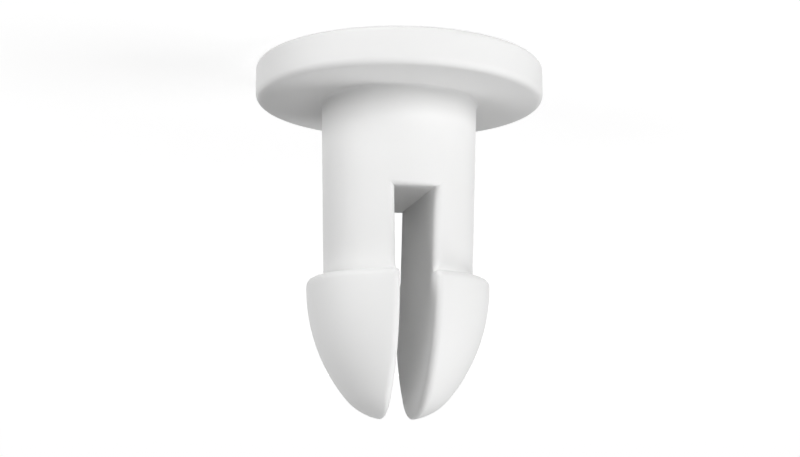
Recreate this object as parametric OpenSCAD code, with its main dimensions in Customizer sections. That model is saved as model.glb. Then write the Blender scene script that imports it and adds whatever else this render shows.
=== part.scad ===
// Push-in fastener: a one-piece moulded clip with a flat round head, a slotted shank
// and a barbed nose whose two legs spring together as it is pushed into a round hole.
// Millimetres. Z = 0 is the head's outer face, the axis is +Z, and the nose points up.

/* [Head] */

// Head diameter
head_d = 12; // [8:0.5:20]

// Head thickness
head_t = 1.55; // [0.8:0.05:3]

// Rounding of the head's outer edge
head_face_r = 0.25; // [0.1:0.05:0.4]

// Rounding of the head's edge on the shank side
head_seat_r = 0.3; // [0.1:0.05:0.4]

/* [Shank] */

// Shank diameter where it meets the head
shank_root_d = 6.48; // [6.2:0.02:7.4]

// Shank diameter just before the barb
shank_end_d = 6.12; // [5.6:0.02:6.8]

// Length from the head's seat to the barb's shoulder
grip_l = 7.45; // [4:0.05:20]

// Fillet between the shank and the head
root_r = 0.15; // [0.05:0.05:0.5]

/* [Nose] */

// Largest diameter, over the barb
barb_d = 7.5; // [6.8:0.1:10.5]

// Rounding of the barb's shoulder edge
shoulder_r = 0.3; // [0.1:0.05:0.5]

// Length from the barb's shoulder to where the nose would end if it had no slot
nose_l = 5.7; // [3.5:0.1:8]

// Radius of the long curve of the nose, in a section through the axis
nose_r = 7.1; // [5:0.1:14]

// Radius of the blunt end of the nose, in the same section
tip_r = 2.4; // [1:0.1:3.2]

/* [Slot] */

// Slot width at its closed end
slot_root_w = 1.64; // [0.8:0.02:2.4]

// Slot width between the tips
slot_tip_w = 1.2; // [0.6:0.02:2.2]

// How far the slot runs into the shank from the barb's shoulder
slot_into_shank = 3.4; // [1:0.1:7]

// Rounding along the slot's long edges
slot_edge_r = 0.25; // [0.1:0.05:0.4]

// Rounding of the edge at the slot's closed end
slot_end_r = 0.2; // [0.05:0.05:0.4]

/* [Hidden] */

$fn = 96;

plastic = [0.93, 0.93, 0.92];

// A cutting shape reaches this far past what it cuts.
reach = 20;

// A rounding along the slot sits this far proud of touching the outside, so the two cross.
edge_ease = 0.006;

// The rounding along a leg's nose is laid through its right place at these shares of the arc.
edge_stations = [0.1, 0.5, 0.9];

head_r = head_d / 2;
shank_root_rad = shank_root_d / 2;
shank_end_rad = shank_end_d / 2;
barb_r = barb_d / 2;

seat_z = head_t;
shoulder_z = head_t + grip_l;
total_l = shoulder_z + nose_l;
slot_z = shoulder_z - slot_into_shank;

// The centre of the blunt end's arc is at least this far from the axis.
tip_centre_min_x = 0.05;

// Where the nose is widest: right after the shoulder's rounding.
widest_z = shoulder_z + shoulder_r;

// The nose's two arcs meet in a smooth line. All of this lies in the axial section.
// Where both arcs are too short for the nose, a straight band before them makes up its length.
nose_centre_x = barb_r - nose_r;
tip_centre_z = total_l - tip_r;
arc_gap = nose_r - tip_r;
longest_rise = half_chord(arc_gap, tip_centre_min_x - nose_centre_x);
tip_rise = min(tip_centre_z - widest_z, longest_rise);
nose_centre_z = tip_centre_z - tip_rise;
tip_centre_x = nose_centre_x + half_chord(arc_gap, tip_rise);
meet_z = nose_centre_z + tip_rise * nose_r / arc_gap;

// Each leg leans in, so the slot is narrower at the tips than at its closed end.
slot_l = total_l - slot_z;
wall_root_x = slot_root_w / 2;
wall_tip_x = slot_tip_w / 2;
lean = atan((wall_root_x - wall_tip_x) / slot_l);

// Radius of the tapered shank at height z.
function shank_rad(z) = shank_root_rad
    + (shank_end_rad - shank_root_rad) * (z - seat_z - root_r) / (grip_l - root_r);

// Half the length of a chord across a disc of radius rad, at distance x from its centre.
function half_chord(rad, x) = sqrt(rad * rad - x * x);

// Radius at height z of the nose's long arc, moved in by inset.
function nose_rad(z, inset) = nose_centre_x + half_chord(nose_r - inset, z - nose_centre_z);

// Distance from the axis to a leg's flat wall at height z.
function wall_x(z) = wall_root_x + (wall_tip_x - wall_root_x) * (z - slot_z) / slot_l;

// A ball that rounds a wall's edge touches the wall and the outside, from within the leg.
// Its centre moves on a surface of radius rad at height z, this far from the plane Y = 0.
function ball_y(z, rad) = half_chord(rad + edge_ease, wall_x(z) + slot_edge_r);

// The circle through three points, as [x, y, radius].
function circle_through(a, b, c) =
    let (d = 2 * (a[0] * (b[1] - c[1]) + b[0] * (c[1] - a[1]) + c[0] * (a[1] - b[1])))
    let (x = (a * a * (b[1] - c[1]) + b * b * (c[1] - a[1]) + c * c * (a[1] - b[1])) / d)
    let (y = (a * a * (c[0] - b[0]) + b * b * (a[0] - c[0]) + c * c * (b[0] - a[0])) / d)
    [x, y, norm([x, y] - a)];

// Over the nose the ball's path, seen square to the wall, is an arc.
nose_path = [
    for (share = edge_stations)
        let (z = nose_centre_z + share * (meet_z - nose_centre_z))
        [ball_y(z, nose_rad(z, slot_edge_r)), z]
];
nose_arc = circle_through(nose_path[0], nose_path[1], nose_path[2]);

// Over the shank the path is straight, and leans by this angle.
shank_path_root = ball_y(slot_z, shank_rad(slot_z) - slot_edge_r);
shank_path_end = ball_y(shoulder_z, shank_end_rad - slot_edge_r);
path_lean = atan((shank_path_root - shank_path_end) / slot_into_shank);

// A quarter of the plane, x above 0 and y below 0, with its corner rounded to radius r.
module rounded_quarter(r) {
    difference() {
        translate([0, -2 * reach])
            square([reach, 2 * reach]);
        difference() {
            translate([-r, -r])
                square([2 * r, 2 * r]);
            translate([r, -r])
                circle(r);
        }
    }
}

// Axial section of the head: a disc with both edges rounded.
module head_section() {
    difference() {
        square([head_r, head_t]);
        translate([head_r - head_face_r, 0])
            edge_waste(head_face_r);
        translate([head_r - head_seat_r, head_t])
            mirror([0, 1])
                edge_waste(head_seat_r);
    }
}

// What a rounding of radius r takes off an outer corner at [r, 0].
module edge_waste(r) {
    difference() {
        translate([0, -r])
            square([2 * r, 2 * r]);
        translate([0, r])
            circle(r);
    }
}

// Axial section of the tapered shank, with the fillet at the head.
module shank_section() {
    polygon([
        [0, seat_z - head_t / 2],
        [shank_root_rad, seat_z - head_t / 2],
        [shank_root_rad, seat_z + root_r],
        [shank_end_rad, shoulder_z],
        [shank_end_rad, widest_z],
        [0, widest_z]
    ]);
    translate([shank_root_rad, seat_z])
        difference() {
            translate([-root_r, -root_r])
                square([2 * root_r, 2 * root_r]);
            translate([root_r, root_r])
                circle(root_r);
        }
}

// Axial section of the nose: the shoulder with its rounding, the long arc and the blunt end.
module nose_section() {
    translate([0, shoulder_z])
        square([barb_r - shoulder_r, shoulder_r]);
    translate([barb_r - shoulder_r, widest_z])
        intersection() {
            circle(shoulder_r);
            translate([0, -shoulder_r])
                square([shoulder_r, shoulder_r]);
        }
    if (nose_centre_z > widest_z)
        translate([0, widest_z])
            square([barb_r, nose_centre_z - widest_z]);
    intersection() {
        translate([nose_centre_x, nose_centre_z])
            circle(nose_r);
        translate([0, widest_z])
            square([barb_r, meet_z - widest_z]);
    }
    intersection() {
        translate([tip_centre_x, tip_centre_z])
            circle(tip_r);
        translate([tip_centre_x, tip_centre_z])
            square([barb_r, tip_r]);
    }
    translate([0, tip_centre_z])
        square([tip_centre_x, tip_r]);
}

// The whole outside, before the slot is cut.
module outer_form() {
    rotate_extrude() {
        head_section();
        shank_section();
        nose_section();
    }
}

// A slab of all that lies between two heights.
module between(z_low, z_high) {
    translate([-reach, -reach, z_low])
        cube([2 * reach, 2 * reach, z_high - z_low]);
}

// Puts its children, made for a wall at x = 0 and z from the slot's end, on a leg's own wall.
module on_wall() {
    translate([wall_root_x, 0, slot_z])
        rotate([0, -lean, 0])
            children();
}

// Its child made for the +Y edge of a wall, kept where the same shape for the -Y edge also is.
module for_both_edges() {
    on_wall()
        intersection() {
            children();
            mirror([0, 1, 0])
                children();
        }
}

// All that the rounded edges leave of a leg beside the shank, on the +X side.
module shank_edges() {
    for_both_edges()
        rotate([path_lean, 0, 0])
            translate([0, shank_path_root + slot_edge_r, -reach])
                linear_extrude(2 * reach)
                    rounded_quarter(slot_edge_r);
}

// All that the rounded edges leave of a leg beside the nose, on the +X side. The edge is
// straight up to the height of the arc's centre, and follows the arc from there.
module nose_edges() {
    for_both_edges()
        translate([0, nose_arc[0], nose_arc[1] - slot_z]) {
            translate([0, nose_arc[2] + slot_edge_r, -reach])
                linear_extrude(reach)
                    rounded_quarter(slot_edge_r);
            rotate([0, 90, 0])
                rotate([0, 0, 90])
                    rotate_extrude(angle = 180)
                        intersection() {
                            translate([nose_arc[2] + slot_edge_r, 0])
                                mirror([1, -1])
                                    rounded_quarter(slot_edge_r);
                            square([2 * reach, reach]);
                        }
        }
}

// What the rounding at the slot's closed end takes off the shank, before the legs keep theirs.
module slot_end_waste() {
    rotate_extrude()
        translate([shank_rad(slot_z) - slot_end_r, slot_z])
            mirror([0, 1])
                edge_waste(slot_end_r);
}

// The head and the solid part of the shank. Its rounding meets the legs' in a mitre.
module solid_end() {
    difference() {
        intersection() {
            outer_form();
            between(-reach, slot_z);
        }
        difference() {
            slot_end_waste();
            both_sides()
                shank_edges();
        }
    }
}

// One leg, on the +X side.
module leg() {
    intersection() {
        outer_form();
        between(slot_z, shoulder_z);
        shank_edges();
    }
    intersection() {
        outer_form();
        between(shoulder_z, total_l + reach);
        nose_edges();
    }
}

// Its child, made on the +X side, and a copy of it on the -X side.
module both_sides() {
    for (turn = [0, 180])
        rotate([0, 0, turn])
            children();
}

module push_in_fastener() {
    color(plastic)
        union() {
            solid_end();
            both_sides()
                leg();
        }
}

push_in_fastener();
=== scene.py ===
from collections import namedtuple
from math import acos, asin, atan, cos, hypot, pi, radians, sin, sqrt

import bmesh
import bpy
from mathutils import Matrix, Vector


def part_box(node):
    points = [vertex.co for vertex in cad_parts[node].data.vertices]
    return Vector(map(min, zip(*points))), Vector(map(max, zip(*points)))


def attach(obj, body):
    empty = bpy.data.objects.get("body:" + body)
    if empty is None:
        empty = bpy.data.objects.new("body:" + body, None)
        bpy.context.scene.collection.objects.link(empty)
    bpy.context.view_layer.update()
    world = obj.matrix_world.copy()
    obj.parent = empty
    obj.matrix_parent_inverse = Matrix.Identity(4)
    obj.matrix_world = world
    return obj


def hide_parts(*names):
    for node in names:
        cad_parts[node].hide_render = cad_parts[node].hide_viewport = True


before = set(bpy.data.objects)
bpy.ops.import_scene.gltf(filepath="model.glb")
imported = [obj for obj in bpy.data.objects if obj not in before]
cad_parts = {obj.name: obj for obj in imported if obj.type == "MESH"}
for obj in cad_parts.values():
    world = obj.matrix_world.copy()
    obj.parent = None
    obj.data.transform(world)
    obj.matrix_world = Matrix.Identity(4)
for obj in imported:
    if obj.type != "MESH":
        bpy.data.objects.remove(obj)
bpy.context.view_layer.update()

# Sizes of the fastener, in millimetres. Z is 0 at the head's outer face and runs up the shank.
MM = 0.001
low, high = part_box("push_in_fastener")
HEAD_RADIUS = (high.x - low.x) / 2 / MM
HEAD_THICK = 1.55
HEAD_FACE_ROUND = 0.25
HEAD_SEAT_ROUND = 0.3
ROOT_FILLET = 0.15
SHANK_ROOT_RADIUS = 3.24
SHANK_END_RADIUS = 3.06
GRIP = 7.45
BARB_RADIUS = 3.75
SHOULDER_ROUND = 0.3
NOSE_LENGTH = 5.7
NOSE_ARC = 7.1
TIP_ARC = 2.4
SLOT_ROOT_HALF = 0.82
SLOT_TIP_HALF = 0.6
SLOT_INTO_SHANK = 3.4
SLOT_EDGE_ROUND = 0.25
SLOT_END_ROUND = 0.2

# The rounding of a leg's wall is smaller at the shoulder and at the tip.
CORNER_EDGE_ROUND = 0.09
SHOULDER_EDGE_ROUNDS = [0.08, 0.1, 0.12]
TIP_EDGE_ROUND = 0.1

# Heights and centres that follow from the sizes.
SEAT_Z = HEAD_THICK
SHOULDER_Z = SEAT_Z + GRIP
WIDEST_Z = SHOULDER_Z + SHOULDER_ROUND
NOSE_END_Z = SHOULDER_Z + NOSE_LENGTH
SLOT_Z = SHOULDER_Z - SLOT_INTO_SHANK
WALL_LEAN = atan((SLOT_ROOT_HALF - SLOT_TIP_HALF) / (NOSE_END_Z - SLOT_Z))
SHANK_TAPER = atan((SHANK_ROOT_RADIUS - SHANK_END_RADIUS) / (GRIP - ROOT_FILLET))
NOSE_CENTRE_X = BARB_RADIUS - NOSE_ARC
TIP_CENTRE_Z = NOSE_END_Z - TIP_ARC
MEET_TILT = asin((TIP_CENTRE_Z - WIDEST_Z) / (NOSE_ARC - TIP_ARC))
TIP_CENTRE_X = NOSE_CENTRE_X + (NOSE_ARC - TIP_ARC) * cos(MEET_TILT)

# How many steps the mesh takes over each stretch of the form.
OUTSIDE_STEPS = 72
EDGE_STEPS = 8
WALL_STEPS = 24
MOUTH_STEPS = 16
SHANK_STEPS = 12
NOSE_STEPS = 36
TIP_STEPS = 18
ROUND_STEPS = 8
SEAT_STEPS = 8
RIM_STEPS = 4
FACE_STEPS = 12

# Vertices closer together than this, in millimetres, become one.
MERGE_GAP = 0.0002

# Faces that meet at more than this angle, in degrees, keep a sharp edge between them.
SHARP_ANGLE = 32

# The stage, in metres. The floor lies a hair under the head's face.
FLOOR_Z = -0.00002
FLOOR_RADIUS = 0.9
SOFT_BOX_SIZE = 0.08
SOFT_BOX_DISTANCE = 0.16

# The floor's colour for the camera goes from the near one to white between these two distances.
NEAR_FLOOR = 0.015
FAR_FLOOR = 0.1

# Colours, as red, green, blue and opacity.
PLASTIC_DULL = (0.74, 0.74, 0.737, 1)
PLASTIC_PALE = (0.77, 0.77, 0.767, 1)
FLOOR_PAINT = (0.35, 0.35, 0.35, 1)
NEAR_FLOOR_WHITE = (0.8, 0.8, 0.8, 1)
WHITE = (1, 1, 1, 1)


class Wire:
    """One output socket of a material. Sums and products of wires and numbers add Math nodes."""

    def __init__(self, tree, socket):
        self.tree = tree
        self.socket = socket

    def maths(self, operation, first, second):
        node = self.tree.nodes.new("ShaderNodeMath")
        node.operation = operation
        for value, entry in zip((first, second), node.inputs):
            if isinstance(value, Wire):
                self.tree.links.new(value.socket, entry)
            else:
                entry.default_value = value
        return Wire(self.tree, node.outputs[0])

    def __add__(self, other):
        return self.maths("ADD", self, other)

    def __radd__(self, other):
        return self.maths("ADD", other, self)

    def __mul__(self, other):
        return self.maths("MULTIPLY", self, other)

    def __rmul__(self, other):
        return self.maths("MULTIPLY", other, self)


class Nodes:
    """The nodes of one material or of the world, added one at a time."""

    def __init__(self, owner):
        owner.use_nodes = True
        self.tree = owner.node_tree
        self.tree.nodes.clear()

    def add(self, kind, settings=None, output=0, joined=(), **inputs):
        """Adds a node, sets it up, fills or links its sockets, and gives back one output.

        Sockets go by their names, or for those in joined by their order.
        """
        node = self.tree.nodes.new("ShaderNode" + kind)
        for name, value in (settings or {}).items():
            setattr(node, name, value)
        for entry, wire in zip(node.inputs, joined):
            self.tree.links.new(wire.socket, entry)
        for name, value in inputs.items():
            entry = node.inputs[name.replace("_", " ")]
            if isinstance(value, Wire):
                self.tree.links.new(value.socket, entry)
            else:
                entry.default_value = value
        return Wire(self.tree, node.outputs[output]) if node.outputs else node


Station = namedtuple("Station", "radius height tilt edge")


def wall_half(z):
    """Distance from the axis to a leg's flat wall at height z."""
    return SLOT_ROOT_HALF + (SLOT_TIP_HALF - SLOT_ROOT_HALF) * (z - SLOT_Z) / (NOSE_END_Z - SLOT_Z)


def shank_radius(z):
    """Radius of the tapered shank at height z."""
    share = (z - SEAT_Z - ROOT_FILLET) / (GRIP - ROOT_FILLET)
    return SHANK_ROOT_RADIUS + (SHANK_END_RADIUS - SHANK_ROOT_RADIUS) * share


def mix(first, last, share):
    """The number that lies a share of the way from the first to the last."""
    return first + (last - first) * share


def shares(steps):
    """The shares after the first, up to 1, of a stretch that is cut into equal steps."""
    return [(step + 1) / steps for step in range(steps)]


def leg_stations():
    """Places up a leg's outside, from the slot's closed end to the tip.

    Each has its radius and height, the tilt of the outside's normal above the horizontal,
    and the radius of the rounding between the outside and the wall.
    """
    stations = []
    for share in shares(SHANK_STEPS)[:-1]:
        z = mix(SLOT_Z, SHOULDER_Z, share)
        stations.append(Station(shank_radius(z), z, SHANK_TAPER, SLOT_EDGE_ROUND))
    stations.append(Station(SHANK_END_RADIUS, SHOULDER_Z, -pi / 4, CORNER_EDGE_ROUND))
    inner, outer = SHANK_END_RADIUS, BARB_RADIUS - SHOULDER_ROUND
    for share, edge in zip(shares(len(SHOULDER_EDGE_ROUNDS)), SHOULDER_EDGE_ROUNDS):
        stations.append(Station(mix(inner, outer, share), SHOULDER_Z, -pi / 2, edge))
    for share in shares(ROUND_STEPS):
        tilt = mix(-pi / 2, 0, share)
        edge = mix(SHOULDER_EDGE_ROUNDS[-1], SLOT_EDGE_ROUND, share)
        radius = outer + SHOULDER_ROUND * cos(tilt)
        stations.append(Station(radius, WIDEST_Z + SHOULDER_ROUND * sin(tilt), tilt, edge))
    for share in shares(NOSE_STEPS):
        tilt = mix(0, MEET_TILT, share)
        radius = NOSE_CENTRE_X + NOSE_ARC * cos(tilt)
        stations.append(Station(radius, WIDEST_Z + NOSE_ARC * sin(tilt), tilt, SLOT_EDGE_ROUND))
    last_tilt = acos((SLOT_TIP_HALF + TIP_EDGE_ROUND - TIP_CENTRE_X) / (TIP_ARC - TIP_EDGE_ROUND))
    for share in shares(TIP_STEPS):
        tilt = mix(MEET_TILT, last_tilt, share)
        edge = mix(SLOT_EDGE_ROUND, TIP_EDGE_ROUND, share)
        radius = TIP_CENTRE_X + TIP_ARC * cos(tilt)
        stations.append(Station(radius, TIP_CENTRE_Z + TIP_ARC * sin(tilt), tilt, edge))
    return stations


def on_circle(radius, angle, z):
    """The point at height z and this distance from the axis, turned by an angle from +X."""
    return Vector((radius * cos(angle), radius * sin(angle), z))


def mirrored(point):
    """The same point on the other side of the plane Y = 0."""
    return Vector((point.x, -point.y, point.z))


def leg_ring(station, at_tip=False):
    """The outline of the +X leg at one station: outside, rounding, wall, rounding.

    A ball of the rounding's radius touches the outside and the wall from within. The
    rounding runs from where it touches the one to where it touches the other.
    """
    into_slot = Vector((-cos(WALL_LEAN), 0, -sin(WALL_LEAN)))
    ball_radius = station.radius - station.edge * cos(station.tilt)
    ball_z = station.height - station.edge * sin(station.tilt)
    ball_x = wall_half(ball_z) + station.edge / cos(WALL_LEAN)
    half_angle = 0 if at_tip else acos(ball_x / ball_radius)
    ball = on_circle(ball_radius, half_angle, ball_z)
    outward = on_circle(cos(station.tilt), half_angle, sin(station.tilt))
    outside = [
        on_circle(station.radius, mix(-half_angle, half_angle, share), station.height)
        for share in [0] + shares(OUTSIDE_STEPS)
    ]
    rounding = [ball + station.edge * outward.slerp(into_slot, share) for share in shares(EDGE_STEPS)]
    wall_start, wall_end = rounding[-1], mirrored(rounding[-1])
    wall = [wall_start.lerp(wall_end, share) for share in shares(WALL_STEPS)[:-1]]
    return outside + rounding + wall + [mirrored(point) for point in reversed(rounding)]


def slot_end_ring():
    """The +X leg's lowest outline, which meets the rounding of the slot's closed end."""
    rim = shank_radius(SLOT_Z)
    points = leg_ring(Station(rim, SLOT_Z, SHANK_TAPER, SLOT_EDGE_ROUND))
    for point in points:
        past = max(0, hypot(point.x, point.y) - (rim - SLOT_END_ROUND))
        past = min(past, SLOT_END_ROUND)
        point.z = SLOT_Z - SLOT_END_ROUND + sqrt(SLOT_END_ROUND**2 - past**2)
    return points


def round_shank(point, share):
    """A point of the +X leg, moved round the axis by a share of the way to the other leg."""
    angle = acos(point.x / hypot(point.x, point.y))
    turn = mix(0, pi - 2 * angle, share)
    return Matrix.Rotation(turn if point.y > 0 else -turn, 3, "Z") @ point


def across_slot(point, share, flat_half):
    """A point of the slot's end, moved by a share of the way to the other leg.

    It moves straight over the slot's floor, which is flat_half wide on each side of the
    axis, and round the axis in the slot's two mouths.
    """
    if abs(point.y) > flat_half:
        return round_shank(point, share)
    return Vector((mix(point.x, -point.x, share), point.y, point.z))


def base_stations():
    """Radius and height of each ring from the slot's closed end down to the head's face."""
    rings = []
    top, bottom = SLOT_Z - SLOT_END_ROUND, SEAT_Z + ROOT_FILLET
    for share in shares(SHANK_STEPS):
        z = mix(top, bottom, share)
        rings.append((shank_radius(z), z))
    for share in shares(ROUND_STEPS):
        turn = mix(pi, 3 * pi / 2, share)
        rings.append((SHANK_ROOT_RADIUS + ROOT_FILLET * (1 + cos(turn)), bottom + ROOT_FILLET * sin(turn)))
    seat_in, seat_out = SHANK_ROOT_RADIUS + ROOT_FILLET, HEAD_RADIUS - HEAD_SEAT_ROUND
    for share in shares(SEAT_STEPS):
        rings.append((mix(seat_in, seat_out, share), SEAT_Z))
    for share in shares(ROUND_STEPS):
        turn = mix(pi / 2, 0, share)
        rings.append((seat_out + HEAD_SEAT_ROUND * cos(turn), SEAT_Z - HEAD_SEAT_ROUND * (1 - sin(turn))))
    for share in shares(RIM_STEPS):
        rings.append((HEAD_RADIUS, mix(SEAT_Z - HEAD_SEAT_ROUND, HEAD_FACE_ROUND, share)))
    face_out = HEAD_RADIUS - HEAD_FACE_ROUND
    for share in shares(ROUND_STEPS):
        turn = mix(0, -pi / 2, share)
        rings.append((face_out + HEAD_FACE_ROUND * cos(turn), HEAD_FACE_ROUND * (1 + sin(turn))))
    for share in shares(FACE_STEPS)[:-1]:
        rings.append((mix(face_out, 0, share), 0))
    return rings


def first_line(mesh, places, closed):
    """A line of vertices through the places, and round to the start if it is closed."""
    verts = [mesh.verts.new(place) for place in places]
    pairs = list(zip(verts, verts[1:]))
    if closed:
        pairs.append((verts[-1], verts[0]))
    for pair in pairs:
        mesh.edges.new(pair)
    return verts


def extruded(mesh, verts, places, closed):
    """Extrudes a line of vertices into a band of faces that ends at the places."""
    pairs = list(zip(verts, verts[1:]))
    if closed:
        pairs.append((verts[-1], verts[0]))
    edges = [mesh.edges.get(pair) for pair in pairs]
    made = bmesh.ops.extrude_edge_only(mesh, edges=edges)["geom"]
    new = {vert for vert in made if isinstance(vert, bmesh.types.BMVert)}
    line = []
    for vert, place in zip(verts, places):
        partner = next(edge.other_vert(vert) for edge in vert.link_edges if edge.other_vert(vert) in new)
        partner.co = place
        line.append(partner)
    return line


def turned_round(point):
    """The point half a turn round the axis from this one."""
    return Vector((-point.x, -point.y, point.z))


def add_legs(mesh, lowest):
    """Both legs: one drawn up from its lowest outline, and a copy turned half round."""
    line = first_line(mesh, lowest, closed=True)
    stations = leg_stations()
    for station in stations:
        line = extruded(mesh, line, leg_ring(station, station is stations[-1]), closed=True)
    whole = mesh.verts[:] + mesh.edges[:] + mesh.faces[:]
    copy = bmesh.ops.duplicate(mesh, geom=whole)["geom"]
    copied = [part for part in copy if isinstance(part, bmesh.types.BMVert)]
    bmesh.ops.rotate(mesh, verts=copied, cent=(0, 0, 0), matrix=Matrix.Rotation(pi, 3, "Z"))


def add_slot_end(mesh, lowest):
    """The floor of the slot, from one leg's lowest outline to the other's."""
    along_slot = lowest[OUTSIDE_STEPS:] + lowest[:1]
    flat_half = along_slot[EDGE_STEPS].y + MERGE_GAP
    line = first_line(mesh, along_slot, closed=False)
    for share in shares(MOUTH_STEPS):
        places = [across_slot(point, share, flat_half) for point in along_slot]
        line = extruded(mesh, line, places, closed=False)


def add_base(mesh, lowest):
    """The solid part of the shank and the head, drawn down from the legs and the slot's mouths."""
    outside = lowest[:OUTSIDE_STEPS + 1]
    mouth = [round_shank(outside[-1], share) for share in shares(MOUTH_STEPS)[:-1]]
    half = outside + mouth
    places = half + [turned_round(point) for point in half]
    rim = hypot(places[0].x, places[0].y)
    line = first_line(mesh, places, closed=True)
    for radius, z in base_stations():
        ring = [Vector((point.x * radius / rim, point.y * radius / rim, z)) for point in places]
        line = extruded(mesh, line, ring, closed=True)
    bmesh.ops.contextual_create(mesh, geom=[mesh.edges.get(pair) for pair in zip(line, line[1:] + line[:1])])


def build_fastener():
    """The whole moulding as one closed mesh, in metres, in the frame's place."""
    lowest = slot_end_ring()
    mesh = bmesh.new()
    add_legs(mesh, lowest)
    add_slot_end(mesh, lowest)
    add_base(mesh, lowest)
    bmesh.ops.remove_doubles(mesh, verts=mesh.verts[:], dist=MERGE_GAP)
    bmesh.ops.recalc_face_normals(mesh, faces=mesh.faces[:])
    bmesh.ops.scale(mesh, vec=(MM, MM, MM), verts=mesh.verts[:])
    for face in mesh.faces:
        face.smooth = True
    data = bpy.data.meshes.new("moulding")
    mesh.to_mesh(data)
    mesh.free()
    data.set_sharp_from_angle(angle=radians(SHARP_ANGLE))
    piece = bpy.data.objects.new("moulding", data)
    bpy.context.scene.collection.objects.link(piece)
    normals = piece.modifiers.new("even shading", "WEIGHTED_NORMAL")
    normals.keep_sharp = True
    return piece


def moulded_plastic():
    """White plastic from a smooth mould: softly matt, a little cloudy, with a fine skin."""
    material = bpy.data.materials.new("white moulded plastic")
    nodes = Nodes(material)
    place = nodes.add("TexCoord", output="Object")
    cloud = nodes.add("TexNoise", Vector=place, Scale=260.0, Detail=3.0, Roughness=0.5)
    flow = nodes.add("TexNoise", Vector=place, Scale=900.0, Detail=2.0, Roughness=0.5)
    skin = nodes.add("TexNoise", Vector=place, Scale=16000.0, Detail=2.0, Roughness=0.6)
    colour = nodes.add(
        "Mix", {"data_type": "RGBA"}, output="Result",
        Factor=cloud, A=PLASTIC_DULL, B=PLASTIC_PALE,
    )
    roughness = 0.55 + 0.12 * flow
    bump = nodes.add("Bump", Strength=0.12, Distance=0.00001, Height=0.7 * skin + 0.3 * flow)
    shader = nodes.add(
        "BsdfPrincipled", Base_Color=colour, Roughness=roughness, Specular_IOR_Level=0.2, Normal=bump,
        Subsurface_Weight=0.12, Subsurface_Radius=(1.0, 1.0, 1.0), Subsurface_Scale=0.0003,
    )
    nodes.add("OutputMaterial", Surface=shader)
    return material


def add_camera():
    """The photograph's view. The head is at its top, so the camera is rolled half round."""
    across, pitch, roll = radians(13.26), radians(-10.29), radians(180.38)
    distance, height = 59.17, 17.57
    data = bpy.data.cameras.new("camera")
    data.sensor_width = 36
    data.lens = 65.51
    data.shift_x = 0.0022
    data.clip_start, data.clip_end = 0.001, 5
    camera = bpy.data.objects.new("camera", data)
    look = Vector((-sin(across) * cos(pitch), cos(across) * cos(pitch), sin(pitch)))
    turn = look.to_track_quat("-Z", "Y").to_matrix() @ Matrix.Rotation(roll, 3, "Z")
    camera.matrix_world = Matrix.LocRotScale(
        Vector((sin(across) * distance, -cos(across) * distance, height)) * MM, turn, None
    )
    bpy.context.scene.collection.objects.link(camera)
    bpy.context.scene.camera = camera


def seen_rays(nodes):
    """1 for rays of the camera, of a reflection or through glass, and 0 for those that light things."""
    rays = nodes.add("LightPath").socket.node
    straight, mirrored_ray, through = (
        Wire(nodes.tree, rays.outputs[name])
        for name in ("Is Camera Ray", "Is Glossy Ray", "Is Transmission Ray")
    )
    return straight + mirrored_ray + through


def add_floor():
    """A pale floor under the head. The camera sees it as white, with the object's shadow.

    It casts no shadow itself, so the lamps that stand lower than it shine up through it.
    """
    mesh = bmesh.new()
    bmesh.ops.create_circle(mesh, cap_ends=True, segments=96, radius=FLOOR_RADIUS)
    bmesh.ops.translate(mesh, vec=(0, 0, FLOOR_Z), verts=mesh.verts[:])
    data = bpy.data.meshes.new("floor")
    mesh.to_mesh(data)
    mesh.free()
    floor = bpy.data.objects.new("floor", data)
    bpy.context.scene.collection.objects.link(floor)
    material = bpy.data.materials.new("pale floor")
    nodes = Nodes(material)
    place = nodes.add("TexCoord", output="Object")
    away = nodes.add("VectorMath", {"operation": "LENGTH"}, output="Value", Vector=place)
    far = nodes.add("MapRange", Value=away, From_Min=NEAR_FLOOR, From_Max=FAR_FLOOR)
    white = nodes.add(
        "Mix", {"data_type": "RGBA"}, output="Result",
        Factor=far, A=NEAR_FLOOR_WHITE, B=WHITE,
    )
    paint = nodes.add("BsdfDiffuse", Color=FLOOR_PAINT)
    glow = nodes.add("Emission", Color=white, Strength=seen_rays(nodes))
    nodes.add("OutputMaterial", Surface=nodes.add("AddShader", joined=(paint, glow)))
    data.materials.append(material)
    floor.visible_shadow = False


def add_world():
    """A white surround for the camera and for reflections. The lamps alone light the object."""
    world = bpy.data.worlds.new("studio")
    bpy.context.scene.world = world
    nodes = Nodes(world)
    light = nodes.add("Background", Color=WHITE, Strength=seen_rays(nodes))
    nodes.add("OutputWorld", Surface=light)


def add_soft_box(name, azimuth, elevation, watts):
    """A square lamp that faces the object. Azimuth 0 is in front, and 90 on the +X side."""
    data = bpy.data.lights.new(name, "AREA")
    data.shape = "SQUARE"
    data.size = SOFT_BOX_SIZE
    data.energy = watts
    lamp = bpy.data.objects.new(name, data)
    around, up = radians(azimuth), radians(elevation)
    away = Vector((sin(around) * cos(up), -cos(around) * cos(up), sin(up)))
    middle = Vector((0, 0, NOSE_END_Z / 2 * MM))
    turn = (-away).to_track_quat("-Z", "Y")
    lamp.matrix_world = Matrix.LocRotScale(middle + away * SOFT_BOX_DISTANCE, turn, None)
    bpy.context.scene.collection.objects.link(lamp)


add_camera()
fastener = build_fastener()
fastener.data.materials.append(moulded_plastic())
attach(fastener, "root")
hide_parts("push_in_fastener")
add_floor()
add_world()
add_soft_box("low front", azimuth=-19, elevation=-12, watts=0.23)
add_soft_box("low left", azimuth=88, elevation=-22, watts=0.15)
add_soft_box("low back", azimuth=-165, elevation=-15, watts=0.085)
add_soft_box("high right", azimuth=-80, elevation=45, watts=0.108)
add_soft_box("high left", azimuth=62, elevation=28, watts=0.058)
add_soft_box("overhead", azimuth=30, elevation=80, watts=0.064)
bpy.context.scene.view_settings.view_transform = "Standard"
